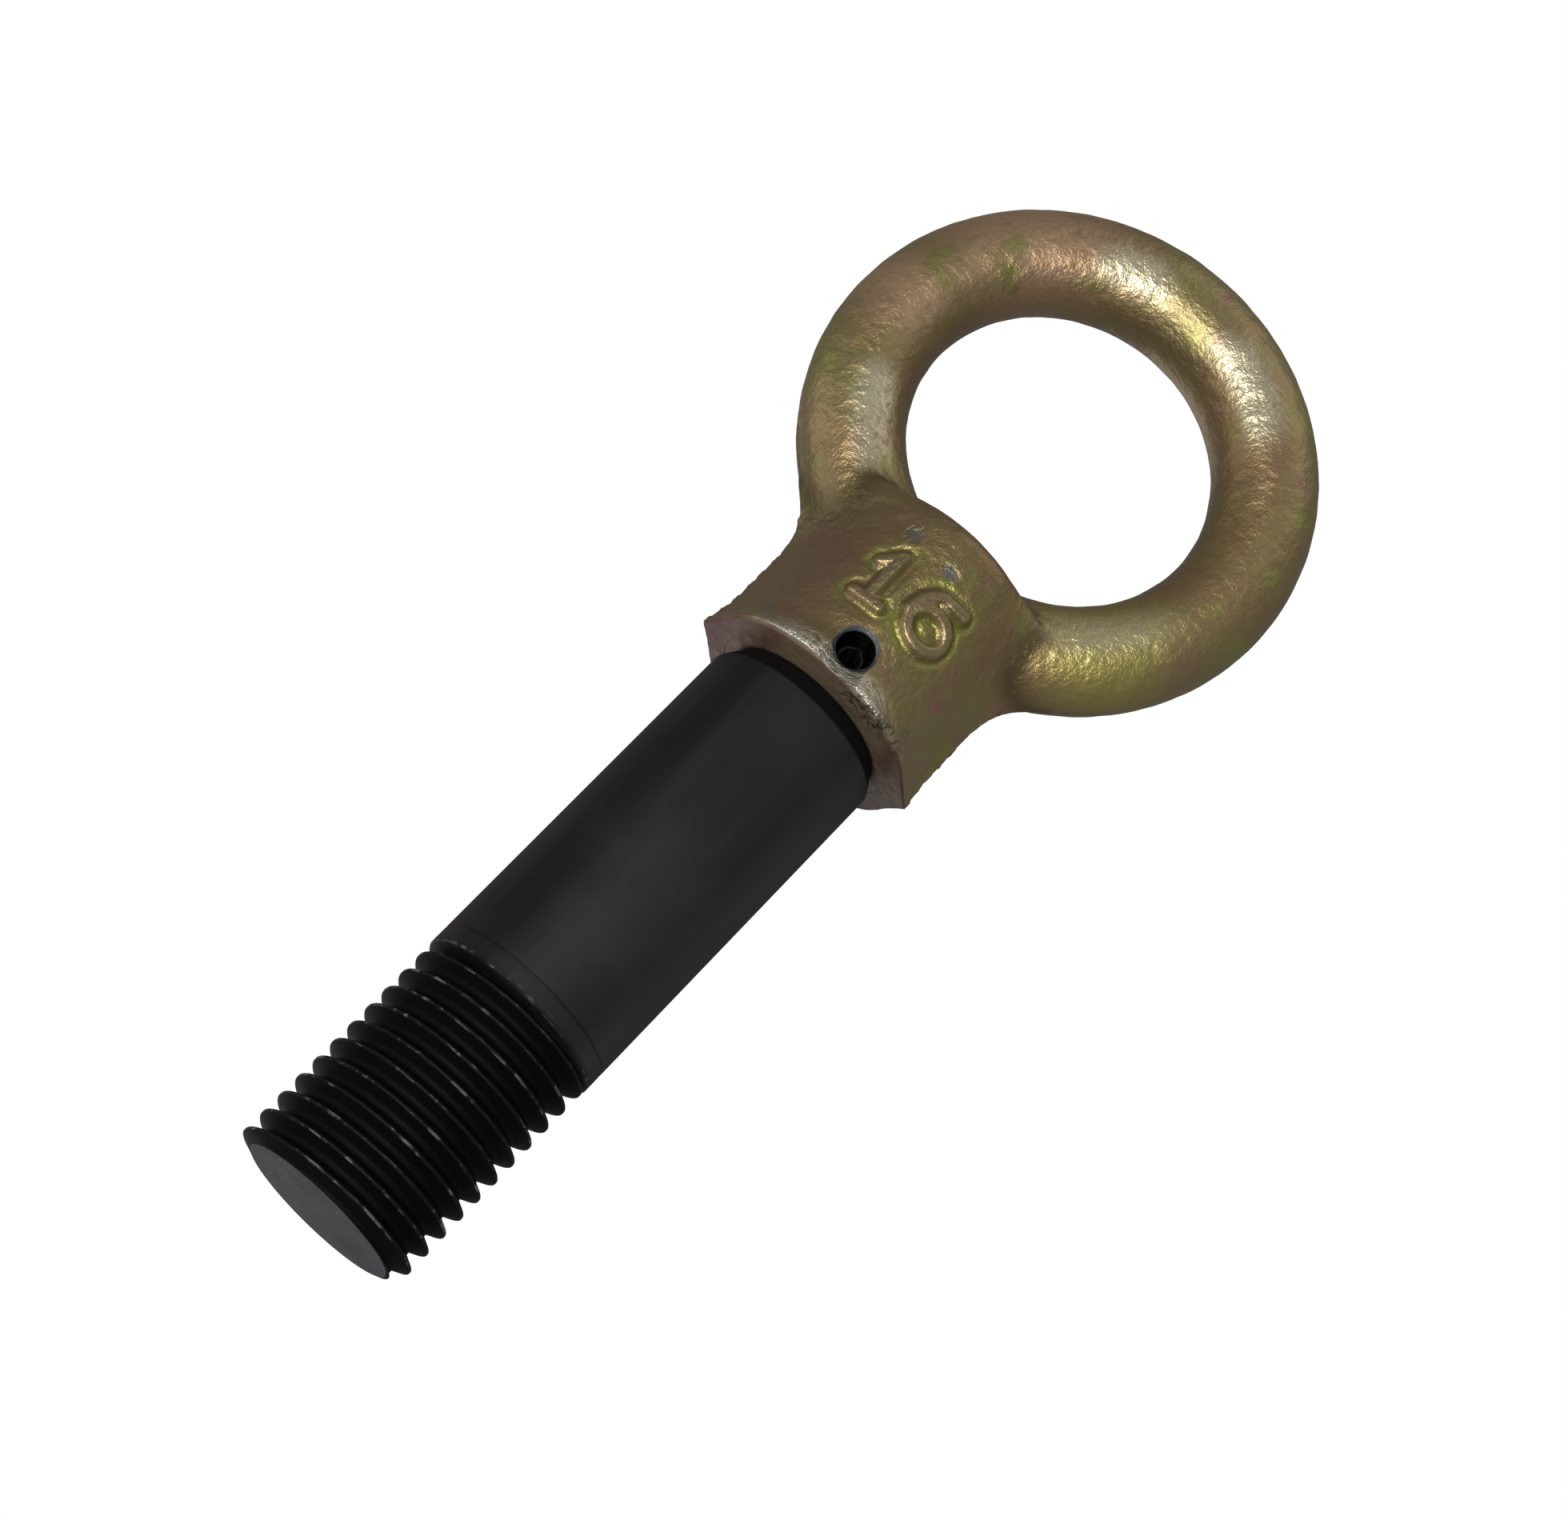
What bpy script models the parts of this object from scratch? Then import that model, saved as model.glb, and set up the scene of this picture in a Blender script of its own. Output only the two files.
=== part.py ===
"""Eye bolt: a forged eye pinned onto a turned, threaded stud.

Frame: metres, +Z up along the stud.  The origin is the centre of the eye's flat seat, so the
eye is above z = 0 and the stud's shank below it.  The ring lies in the XZ plane and the pin
runs along Y, straight through the middle of the boss.
"""

from math import acos, asin, cos, hypot, pi, radians, sin, sqrt

import bmesh
import bpy
from mathutils import Matrix, Vector

# ---------------------------------------------------------------- driving dimensions, in metres
RING_RADIUS = 0.0254          # from the eye's centre to the middle of its round bar
BAR_RADIUS = 0.00645          # half the thickness of the ring's bar
EYE_HEIGHT = 0.0462           # from the seat to the eye's centre
EYE_SHIFT = 0.0005            # how far the forging stands to the side of the turned foot

BOSS_DEPTH = 0.0133           # boss, from its axis to its front or back
BOSS_WAIST = 0.0151           # boss, from its axis to the parting line at the sides
BOSS_HEIGHT = 0.0260          # from the seat to the boss's top
BOSS_EDGE = 0.0032            # rounding of the boss's top edge
SIDE_FILLET = 0.0138          # hollow from the boss's sides into the outside of the ring
DRAFT = radians(22)           # least slope of the flanks that run out to the parting line

RIM_DEPTH = 0.0163            # flared foot, from its axis to its front or back
RIM_WIDTH = 0.0158            # flared foot, from its axis to its side corners
RIM_LIP = 0.0008              # upright edge of the foot
FLARE_HEIGHT = 0.0055         # from the seat to where the flare has run into the boss
SEAT_RECESS = 0.0005          # depth of the spot face in the seat, which clears the shank

SHANK_RADIUS = 0.01176
SHANK_LENGTH = 0.0793         # from the seat to the threaded end
SHOULDER_CHAMFER = 0.00176    # on the shank's edge under the eye
THREAD_RADIUS = 0.01168       # over the crests
THREAD_PITCH = 0.002689
THREAD_DEPTH = 0.0016
THREAD_LENGTH = 0.0286        # from the end face to the last full turn
THREAD_FADE = 0.0014          # length in which the groove runs out into the shank
CREST_FLAT = 0.12             # flat of the crest, as a share of the pitch
ROOT_FLAT = 0.18              # flat of the root, as a share of the pitch
CREST_PHASE = radians(80)     # where around the stud the crest meets the end face
POINT_RADIUS = 0.0104         # flat end face
POINT_CHAMFER = 0.00125       # length of the cone at the threaded end

TENON_RADIUS = 0.0076         # the stud's turned-down end, held inside the boss
TENON_LENGTH = 0.0230
TENON_CHAMFER = 0.0012

PIN_RADIUS = 0.00190          # rolled spring pin through the boss and the tenon
PIN_WALL = 0.00060
PIN_SLOT = 0.00080            # gap along the rolled pin
PIN_HEIGHT = 0.00505          # from the seat to the pin's axis
PIN_RECESS = 0.0036           # how far each end of the pin is sunk below the boss

FIT = 0.0003                  # gap left between pieces that touch on the real bolt

# ---------------------------------------------------------------- smoothness of the faceted shapes
RING_STEPS = 72
BAR_STEPS = 20
BOSS_STEPS = 64
TURN_STEPS = 48
HOLE_STEPS = 32
CUT_OVERRUN = 0.004           # how far a cutter runs past what it cuts

PIN_HOLE_RADIUS = PIN_RADIUS + FIT
RING_OUTSIDE = RING_RADIUS + BAR_RADIUS


# ---------------------------------------------------------------- scene helpers
def clear_scene():
    for obj in list(bpy.data.objects):
        bpy.data.objects.remove(obj, do_unlink=True)


def new_collection(name):
    collection = bpy.data.collections.new(name)
    bpy.context.scene.collection.children.link(collection)
    return collection


def add_object(name, mesh, collection):
    obj = bpy.data.objects.new(name, mesh)
    collection.objects.link(obj)
    return obj


def mesh_from(name, shape):
    """Ends a bmesh: faces turned outwards, smooth with sharp edges kept."""
    bmesh.ops.recalc_face_normals(shape, faces=shape.faces)
    mesh = bpy.data.meshes.new(name)
    shape.to_mesh(mesh)
    shape.free()
    mesh.shade_smooth()
    mesh.set_sharp_from_angle(angle=radians(35))
    return mesh


def new_material(name, colour, roughness, metallic):
    material = bpy.data.materials.new(name)
    material.use_nodes = True
    shader = material.node_tree.nodes["Principled BSDF"]
    shader.inputs["Base Color"].default_value = (*colour, 1.0)
    shader.inputs["Roughness"].default_value = roughness
    shader.inputs["Metallic"].default_value = metallic
    return material


def add_cutter(name, shape, collection):
    cutter = add_object(name, mesh_from(name, shape), collection)
    cutter.hide_render = True
    cutter.display_type = "WIRE"
    return cutter


def add_boolean(obj, other, operation):
    modifier = obj.modifiers.new(operation.lower() + "_" + other.name, "BOOLEAN")
    modifier.operation = operation
    modifier.object = other
    modifier.solver = "EXACT"


# ---------------------------------------------------------------- shapes shared by the pieces
def cylinder(shape, radius, low, high, steps):
    """A closed cylinder standing on Z from low to high."""
    bmesh.ops.create_cone(
        shape,
        cap_ends=True,
        segments=steps,
        radius1=radius,
        radius2=radius,
        depth=high - low,
        matrix=Matrix.Translation((0, 0, (low + high) / 2)),
    )


def loft(shape, outlines):
    """Joins closed outlines of equally many points, one above the other, and caps both ends."""
    rings = [[shape.verts.new(point) for point in outline] for outline in outlines]
    count = len(rings[0])
    for lower, upper in zip(rings, rings[1:]):
        for i in range(count):
            j = (i + 1) % count
            shape.faces.new((lower[i], lower[j], upper[j], upper[i]))
    shape.faces.new(rings[0][::-1])
    shape.faces.new(rings[-1])


# ---------------------------------------------------------------- forged eye
def side_width(z):
    """Half width of the boss at its parting line: foot, waist, then a hollow into the ring."""
    reach = RING_OUTSIDE + SIDE_FILLET
    centre_x = BOSS_WAIST + SIDE_FILLET
    centre_z = EYE_HEIGHT - sqrt(max(reach ** 2 - centre_x ** 2, 0.0))
    touch_z = EYE_HEIGHT - (EYE_HEIGHT - centre_z) * RING_OUTSIDE / reach
    if z < centre_z:
        return BOSS_WAIST + (RIM_WIDTH - BOSS_WAIST) * (1 - z / centre_z) ** 1.5
    if z < touch_z:
        return centre_x - sqrt(SIDE_FILLET ** 2 - (z - centre_z) ** 2)
    return sqrt(RING_OUTSIDE ** 2 - (EYE_HEIGHT - z) ** 2) - FIT


def front_depth(z):
    """Half depth of the boss from front to back: flared foot, straight barrel, rounded top."""
    if z < RIM_LIP:
        return RIM_DEPTH
    if z < FLARE_HEIGHT:
        part = (FLARE_HEIGHT - z) / (FLARE_HEIGHT - RIM_LIP)
        return BOSS_DEPTH + (RIM_DEPTH - BOSS_DEPTH) * part ** 2.2
    rise = max(z - (BOSS_HEIGHT - BOSS_EDGE), 0.0)
    return BOSS_DEPTH - BOSS_EDGE + sqrt(max(BOSS_EDGE ** 2 - rise ** 2, 0.0))


def boss_outline(z):
    """Section of the boss: a round front and back, with flat flanks out to a corner each side."""
    depth = front_depth(z)
    width = side_width(z)
    shift = EYE_SHIFT * min(z / FLARE_HEIGHT, 1.0)
    flank = max(acos(min(depth / width, 1.0)), DRAFT)
    reach = width * cos(flank)
    turn = flank + acos(min(reach / depth, 1.0))
    points = []
    for i in range(BOSS_STEPS):
        angle = 2 * pi * i / BOSS_STEPS
        from_side = asin(abs(sin(angle)))
        radius = reach / cos(from_side - flank) if from_side < turn else depth
        points.append(Vector((shift + radius * cos(angle), radius * sin(angle), z)))
    return points


def boss_levels():
    """Heights of the boss's sections, closer together where its outline changes fast."""
    flare = [RIM_LIP + (FLARE_HEIGHT - RIM_LIP) * part for part in (0, 0.15, 0.35, 0.6, 1)]
    barrel_top = BOSS_HEIGHT - BOSS_EDGE
    barrel_steps = 8
    barrel = [FLARE_HEIGHT + (barrel_top - FLARE_HEIGHT) * i / barrel_steps
              for i in range(1, barrel_steps + 1)]
    edge_steps = 5
    edge = [barrel_top + BOSS_EDGE * sin(i / edge_steps * pi / 2)
            for i in range(1, edge_steps + 1)]
    return [0.0] + flare + barrel + edge


def make_boss(cutters):
    shape = bmesh.new()
    loft(shape, [boss_outline(z) for z in boss_levels()])
    return add_cutter("boss_blank", shape, cutters)


def make_socket_cutter(cutters):
    """The tapped hole that takes the stud's tenon, right through into the eye."""
    shape = bmesh.new()
    eye_bottom = max(BOSS_HEIGHT, EYE_HEIGHT - RING_RADIUS + BAR_RADIUS)
    cylinder(shape, TENON_RADIUS + FIT, -CUT_OVERRUN, eye_bottom + CUT_OVERRUN, TURN_STEPS)
    return add_cutter("socket_cutter", shape, cutters)


def make_seat_recess_cutter(cutters):
    """The shallow spot face round the socket's mouth, just wider than the shank."""
    shape = bmesh.new()
    cylinder(shape, SHANK_RADIUS + FIT, -CUT_OVERRUN, SEAT_RECESS, TURN_STEPS)
    return add_cutter("seat_recess_cutter", shape, cutters)


def make_pin_hole_cutter(name, cutters):
    """A hole along Y through boss and tenon, in line with the pin."""
    shape = bmesh.new()
    half = RIM_DEPTH + CUT_OVERRUN
    cylinder(shape, PIN_HOLE_RADIUS, -half, half, HOLE_STEPS)
    bmesh.ops.rotate(shape, verts=shape.verts, cent=(0, 0, 0),
                     matrix=Matrix.Rotation(pi / 2, 3, "X"))
    bmesh.ops.translate(shape, verts=shape.verts, vec=(0, 0, PIN_HEIGHT))
    return add_cutter(name, shape, cutters)


def make_eye(parts, cutters, material):
    bpy.ops.mesh.primitive_torus_add(
        major_segments=RING_STEPS,
        minor_segments=BAR_STEPS,
        major_radius=RING_RADIUS,
        minor_radius=BAR_RADIUS,
    )
    eye = bpy.context.object
    eye.name = "forged_eye"
    for collection in list(eye.users_collection):
        collection.objects.unlink(eye)
    parts.objects.link(eye)
    place = Matrix.Translation((EYE_SHIFT, 0, EYE_HEIGHT))
    eye.data.transform(place @ Matrix.Rotation(pi / 2, 4, "X"))
    eye.data.shade_smooth()
    eye.data.materials.append(material)
    add_boolean(eye, make_boss(cutters), "UNION")
    add_boolean(eye, make_socket_cutter(cutters), "DIFFERENCE")
    add_boolean(eye, make_seat_recess_cutter(cutters), "DIFFERENCE")
    add_boolean(eye, make_pin_hole_cutter("eye_pin_hole", cutters), "DIFFERENCE")
    return eye


# ---------------------------------------------------------------- threaded stud
def thread_line(shape):
    """The thread's outline along one side: crest flat, flank, root flat, flank, and so on."""
    turns = int((THREAD_LENGTH + THREAD_FADE) / THREAD_PITCH) + 4
    start = -SHANK_LENGTH - 2 * THREAD_PITCH
    corners = ((-CREST_FLAT / 2, 0.0), (CREST_FLAT / 2, 0.0),
               (0.5 - ROOT_FLAT / 2, THREAD_DEPTH), (0.5 + ROOT_FLAT / 2, THREAD_DEPTH))
    line = []
    for turn in range(turns):
        for part, groove in corners:
            height = start + (turn + part) * THREAD_PITCH
            line.append(shape.verts.new((THREAD_RADIUS - groove, 0, height)))
    return line + [shape.edges.new(pair) for pair in zip(line, line[1:])]


def wind_thread(shape):
    """Winds the outline one turn up by one pitch, so each coil closes onto the next."""
    bmesh.ops.spin(
        shape,
        geom=thread_line(shape),
        cent=(0, 0, 0),
        axis=(0, 0, 1),
        dvec=(0, 0, THREAD_PITCH / TURN_STEPS),
        angle=2 * pi,
        steps=TURN_STEPS,
        use_merge=False,
    )
    bmesh.ops.rotate(shape, verts=shape.verts, cent=(0, 0, 0),
                     matrix=Matrix.Rotation(CREST_PHASE, 3, "Z"))
    bmesh.ops.remove_doubles(shape, verts=shape.verts, dist=1e-6)


def fade_groove(shape, start):
    """Lifts the groove gently out to the full radius, over THREAD_FADE above start."""
    for vert in shape.verts:
        radius = hypot(vert.co.x, vert.co.y)
        fade = min(max((vert.co.z - start) / THREAD_FADE, 0.0), 1.0)
        scale = 1 + (THREAD_RADIUS / radius - 1) * fade
        vert.co.x *= scale
        vert.co.y *= scale


def cut_level(shape, height, keep_below):
    """Cuts the skin level at a height, drops one side, and returns the edges of the cut."""
    cut = bmesh.ops.bisect_plane(
        shape,
        geom=list(shape.verts) + list(shape.edges) + list(shape.faces),
        dist=1e-6,
        plane_co=(0, 0, height),
        plane_no=(0, 0, 1),
        clear_outer=keep_below,
        clear_inner=not keep_below,
    )["geom_cut"]
    return [item for item in cut if isinstance(item, bmesh.types.BMEdge)]


def turn_on(shape, loop, stations):
    """Carries a round loop on through (radius, height) stations, then caps it."""
    for radius, height in stations:
        grown = bmesh.ops.extrude_edge_only(shape, edges=loop)["geom"]
        fresh = {item for item in grown if isinstance(item, bmesh.types.BMVert)}
        for vert in fresh:
            scale = radius / hypot(vert.co.x, vert.co.y)
            vert.co = Vector((vert.co.x * scale, vert.co.y * scale, height))
        loop = [item for item in grown
                if isinstance(item, bmesh.types.BMEdge) and fresh.issuperset(item.verts)]
    bmesh.ops.contextual_create(shape, geom=loop)


def make_point_envelope(cutters):
    """A turned blank round the whole stud, with the cone of the threaded end."""
    shape = bmesh.new()
    end = -SHANK_LENGTH
    spread = (THREAD_RADIUS - POINT_RADIUS) / POINT_CHAMFER
    clear = SHANK_RADIUS + CUT_OVERRUN
    bottom = bmesh.ops.create_circle(shape, cap_ends=True, segments=TURN_STEPS,
                                     radius=POINT_RADIUS)["verts"]
    bmesh.ops.translate(shape, verts=bottom, vec=(0, 0, end))
    rim = [edge for edge in shape.edges if edge.is_boundary]
    turn_on(shape, rim, [(clear, end + (clear - POINT_RADIUS) / spread),
                         (clear, TENON_LENGTH + CUT_OVERRUN)])
    return add_cutter("point_envelope", shape, cutters)


def make_stud(parts, cutters, material):
    shape = bmesh.new()
    fade_start = THREAD_LENGTH - SHANK_LENGTH
    fade_end = fade_start + THREAD_FADE
    wind_thread(shape)
    fade_groove(shape, fade_start)
    end_loop = cut_level(shape, -SHANK_LENGTH, keep_below=False)
    bmesh.ops.contextual_create(shape, geom=end_loop)
    top_loop = cut_level(shape, fade_end, keep_below=True)
    turn_on(shape, top_loop, [
        (SHANK_RADIUS, fade_end + SHANK_RADIUS - THREAD_RADIUS),
        (SHANK_RADIUS, -FIT - SHOULDER_CHAMFER),
        (SHANK_RADIUS - SHOULDER_CHAMFER, -FIT),
        (TENON_RADIUS, -FIT),
        (TENON_RADIUS, TENON_LENGTH - TENON_CHAMFER),
        (TENON_RADIUS - TENON_CHAMFER, TENON_LENGTH),
    ])
    stud = add_object("threaded_stud", mesh_from("threaded_stud", shape), parts)
    stud.data.materials.append(material)
    add_boolean(stud, make_point_envelope(cutters), "INTERSECT")
    add_boolean(stud, make_pin_hole_cutter("stud_pin_hole", cutters), "DIFFERENCE")
    return stud


# ---------------------------------------------------------------- rolled spring pin
def make_pin(parts, material):
    """A strip rolled into an open tube, lying along Y with its ends sunk in the boss."""
    shape = bmesh.new()
    half = BOSS_DEPTH - PIN_RECESS
    gap = 2 * asin(PIN_SLOT / 2 / PIN_RADIUS)
    angles = [gap / 2 + (2 * pi - gap) * i / HOLE_STEPS for i in range(HOLE_STEPS + 1)]
    outside = [(PIN_RADIUS, angle) for angle in angles]
    inside = [(PIN_RADIUS - PIN_WALL, angle) for angle in reversed(angles)]
    outline = [shape.verts.new((radius * sin(angle), -half, PIN_HEIGHT + radius * cos(angle)))
               for radius, angle in outside + inside]
    strip = shape.faces.new(outline)
    grown = bmesh.ops.extrude_face_region(shape, geom=[strip])["geom"]
    far_end = [item for item in grown if isinstance(item, bmesh.types.BMVert)]
    bmesh.ops.translate(shape, verts=far_end, vec=(0, 2 * half, 0))
    pin = add_object("roll_pin", mesh_from("roll_pin", shape), parts)
    pin.data.materials.append(material)
    return pin


# ---------------------------------------------------------------- the eye bolt
def make_eye_bolt():
    clear_scene()
    parts = new_collection("eye_bolt")
    cutters = new_collection("cutters")
    yellow_zinc = new_material("yellow_zinc", (0.36, 0.27, 0.10), 0.42, 0.8)
    black_oxide = new_material("black_oxide", (0.025, 0.025, 0.024), 0.5, 0.5)
    spring_steel = new_material("spring_steel", (0.06, 0.06, 0.065), 0.4, 0.8)
    make_eye(parts, cutters, yellow_zinc)
    make_stud(parts, cutters, black_oxide)
    make_pin(parts, spring_steel)


make_eye_bolt()
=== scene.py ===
"""Looks of a lifting eye bolt: a forged, yellow-zinc eye pinned onto a black turned stud."""

from math import asin, cos, pi, radians, sin

import bmesh
import bpy
import numpy as np
from mathutils import Matrix, Vector, noise


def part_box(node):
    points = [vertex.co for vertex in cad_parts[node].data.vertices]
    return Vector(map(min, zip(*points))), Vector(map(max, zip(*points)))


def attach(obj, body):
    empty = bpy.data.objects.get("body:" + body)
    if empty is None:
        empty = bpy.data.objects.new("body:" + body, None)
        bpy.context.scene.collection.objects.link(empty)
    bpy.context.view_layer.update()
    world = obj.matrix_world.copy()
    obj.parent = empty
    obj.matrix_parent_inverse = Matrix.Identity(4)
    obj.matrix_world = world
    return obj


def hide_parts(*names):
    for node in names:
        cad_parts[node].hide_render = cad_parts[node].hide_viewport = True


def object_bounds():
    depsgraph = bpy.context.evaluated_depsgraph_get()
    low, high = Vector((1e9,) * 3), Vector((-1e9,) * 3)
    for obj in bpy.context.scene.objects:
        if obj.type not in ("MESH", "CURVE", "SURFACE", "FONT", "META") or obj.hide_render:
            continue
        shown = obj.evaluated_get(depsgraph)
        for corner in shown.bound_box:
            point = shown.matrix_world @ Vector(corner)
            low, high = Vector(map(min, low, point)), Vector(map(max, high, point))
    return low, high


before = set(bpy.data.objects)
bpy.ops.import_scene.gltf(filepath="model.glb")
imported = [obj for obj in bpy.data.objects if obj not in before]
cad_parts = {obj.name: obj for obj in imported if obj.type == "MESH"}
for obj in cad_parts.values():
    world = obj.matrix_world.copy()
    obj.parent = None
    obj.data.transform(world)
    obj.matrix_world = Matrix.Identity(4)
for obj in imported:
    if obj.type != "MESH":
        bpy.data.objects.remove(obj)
cad_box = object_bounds()
mm = 0.001


# ---------------------------------------------------------------- camera
# A long lens a little below the bolt, turned on its side so that the bolt lies across the
# frame from the threaded end at the lower left to the ring at the upper right.
camera = bpy.data.objects.new("camera", bpy.data.cameras.new("camera"))
bpy.context.scene.collection.objects.link(camera)
bpy.context.scene.camera = camera
camera.data.sensor_width = 36
camera.data.lens = 82.57
camera.data.clip_start = 0.01
azimuth, elevation, roll = radians(3.841), radians(-20.461), radians(44.321)
camera.matrix_world = (
    Matrix.Translation(Vector((27.506, -382.412, -148.363)) * mm)
    @ Matrix.Rotation(azimuth, 4, "Z")
    @ Matrix.Rotation(pi / 2 - elevation, 4, "X")
    @ Matrix.Rotation(roll, 4, "Z")
)


# ---------------------------------------------------------------- floor and light
# A plain pale floor well under the bolt, whose own glow keeps it pale but lights nothing, a
# pale room that gives an even low light, one soft lamp in front of the bolt, and weak broad
# ones to its left, above it and behind it.
class Shade:
    """An output of a material's nodes.  Arithmetic on it adds Math nodes."""

    def __init__(self, tree, socket=None):
        self.tree = tree
        self.socket = socket

    def node(self, kind, settings=None, inputs=None, output=0):
        """Adds a node: its settings first, then what its sockets hold or are linked to."""
        added = self.tree.nodes.new(kind)
        for name, value in (settings or {}).items():
            setattr(added, name, value)
        for name, value in (inputs or {}).items():
            if isinstance(value, Shade):
                self.tree.links.new(value.socket, added.inputs[name])
            else:
                added.inputs[name].default_value = value
        return Shade(self.tree, added.outputs[output]) if len(added.outputs) else added

    def math(self, operation, *values):
        return self.node("ShaderNodeMath", {"operation": operation}, dict(enumerate(values)))

    def __add__(self, other):
        return self.math("ADD", self, other)

    def __mul__(self, other):
        return self.math("MULTIPLY", self, other)

    def __sub__(self, other):
        return self.math("SUBTRACT", self, other)

    def __rsub__(self, other):
        return self.math("SUBTRACT", other, self)

    __radd__ = __add__
    __rmul__ = __mul__

    def step(self, low, high):
        """0 below low, 1 above high, smooth between; the other way round if low > high."""
        low_value, high_value = (0.0, 1.0) if low < high else (1.0, 0.0)
        inputs = {"Value": self, "From Min": min(low, high), "From Max": max(low, high),
                  "To Min": low_value, "To Max": high_value}
        return self.node("ShaderNodeMapRange", {"interpolation_type": "SMOOTHSTEP"}, inputs)

    def blend(self, first, second):
        """A colour between two, by this factor."""
        inputs = {0: self, 6: first, 7: second}
        return self.node("ShaderNodeMix", {"data_type": "RGBA"}, inputs, 2)

    def noise(self, place, size, detail=3.0, roughness=0.55):
        """Cloudy noise whose lumps are about size metres across."""
        inputs = {"Vector": place, "Scale": 1 / size, "Detail": detail, "Roughness": roughness}
        return self.node("ShaderNodeTexNoise", None, inputs)


def new_material(name, roughness, metallic):
    material = bpy.data.materials.new(name)
    material.use_nodes = True
    shader = material.node_tree.nodes["Principled BSDF"]
    shader.inputs["Roughness"].default_value = roughness
    shader.inputs["Metallic"].default_value = metallic
    return material, shader, Shade(material.node_tree)


def add_area_light(name, direction, distance, size, power, colour=(1, 1, 1)):
    """A square soft lamp, aimed at the middle of the bolt from a direction."""
    lamp = bpy.data.objects.new(name, bpy.data.lights.new(name, "AREA"))
    lamp.data.size = size
    lamp.data.energy = power
    lamp.data.color = colour
    middle = (cad_box[0] + cad_box[1]) / 2
    away = Vector(direction).normalized()
    turn = away.to_track_quat("Z", "Y").to_matrix().to_4x4()
    lamp.matrix_world = Matrix.Translation(middle + away * distance) @ turn
    bpy.context.scene.collection.objects.link(lamp)


floor_shape = bmesh.new()
bmesh.ops.create_grid(floor_shape, x_segments=1, y_segments=1, size=60)
floor_height = cad_box[0].z - 0.42
bmesh.ops.translate(floor_shape, verts=floor_shape.verts, vec=(0, 0, floor_height))
floor_mesh = bpy.data.meshes.new("floor")
floor_shape.to_mesh(floor_mesh)
floor_shape.free()
floor = bpy.data.objects.new("floor", floor_mesh)
bpy.context.scene.collection.objects.link(floor)
floor_material, floor_shader, shade = new_material("pale_floor", 0.8, 0.0)
floor_shader.inputs["Base Color"].default_value = (0.35, 0.35, 0.35, 1)
floor_shader.inputs["Emission Color"].default_value = (0.84, 0.84, 0.85, 1)
floor_shader.inputs["Emission Strength"].default_value = 1.0
floor_mesh.materials.append(floor_material)
floor.visible_diffuse = False
floor.visible_glossy = False

# The room is seen as white, and lights the bolt with a much weaker even light.
world = bpy.data.worlds.new("pale_room")
bpy.context.scene.world = world
world.use_nodes = True
world.node_tree.nodes.clear()
room = Shade(world.node_tree)
white_seen = room.node("ShaderNodeBackground", None, {"Color": (1, 1, 1, 1), "Strength": 1.0})
light_given = room.node(
    "ShaderNodeBackground", None, {"Color": (0.97, 0.98, 1, 1), "Strength": 0.17})
seen_directly = room.node("ShaderNodeLightPath")
whole_room = room.node("ShaderNodeMixShader", None,
                       {0: seen_directly, 1: light_given, 2: white_seen})
room.node("ShaderNodeOutputWorld", None, {"Surface": whole_room})
bpy.context.scene.view_settings.view_transform = "Standard"

add_area_light("front_lamp", (-0.059, -0.926, -0.395), 0.60, 0.28, 2.9, (1.0, 0.98, 0.95))
add_area_light("left_lamp", (-0.88, -0.11, -0.42), 0.90, 0.60, 1.0)
add_area_light("top_lamp", (0.20, -0.35, 0.90), 0.90, 0.60, 0.75)
add_area_light("back_lamp", (-0.30, 0.90, -0.20), 0.90, 0.60, 0.8)


# ---------------------------------------------------------------- forged eye
# The ring and the boss are one drop forging in steel.  The ring's round bar runs into the
# boss's sides, the foot flares out to a machined seat, and a size number stands up from the
# front.  It is plated in yellow zinc, which comes out olive, gold and pink, and is worn
# silvery along the foot's front edge, where painted highlight lies on the wear as well.
eye_low, eye_high = (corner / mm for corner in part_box("forged_eye"))
bar_radius = 6.45
ring_outside = (eye_high.x - eye_low.x) / 2
ring_radius = ring_outside - bar_radius
eye_x = (eye_high.x + eye_low.x) / 2
eye_z = eye_high.z - ring_outside

boss_depth = 13.3
boss_waist = 15.2
boss_height = 26.0
boss_edge = 3.0
boss_shift = 0.2
boss_flank = radians(22)      # least slant of the boss's sides, away from the parting line
side_fillet = 13.4            # hollow between the boss's side and the ring
join_reach = 1.1              # rounding in the crease between ring and boss
foot_lip = 0.9                # straight rim of the foot, below its flare
foot_edge = 0.35              # rounding of the foot's lower edge
foot_worn_edge = 0.6          # the same at the front, where it is worn
foot_outline = np.polynomial.Polynomial.fit(      # radius against the angle from the side
    np.sin(np.radians([0, 6, 14, 23, 42, 58, 75, 90])),
    [15.7, 15.2, 14.75, 14.75, 15.4, 15.85, 16.15, 16.25], 5)
flare_height = 5.6
flash_height = 0.35           # ragged line left where the two dies met
flash_width = 0.55
pin_height = 5.05
pin_hole_radius = 2.25
pin_hole_bevel = 0.55
socket_radius = 7.9
socket_top = 29.0
socket_pitch = 2.12
spot_face_radius = 12.06
spot_face_depth = 0.05

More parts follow.
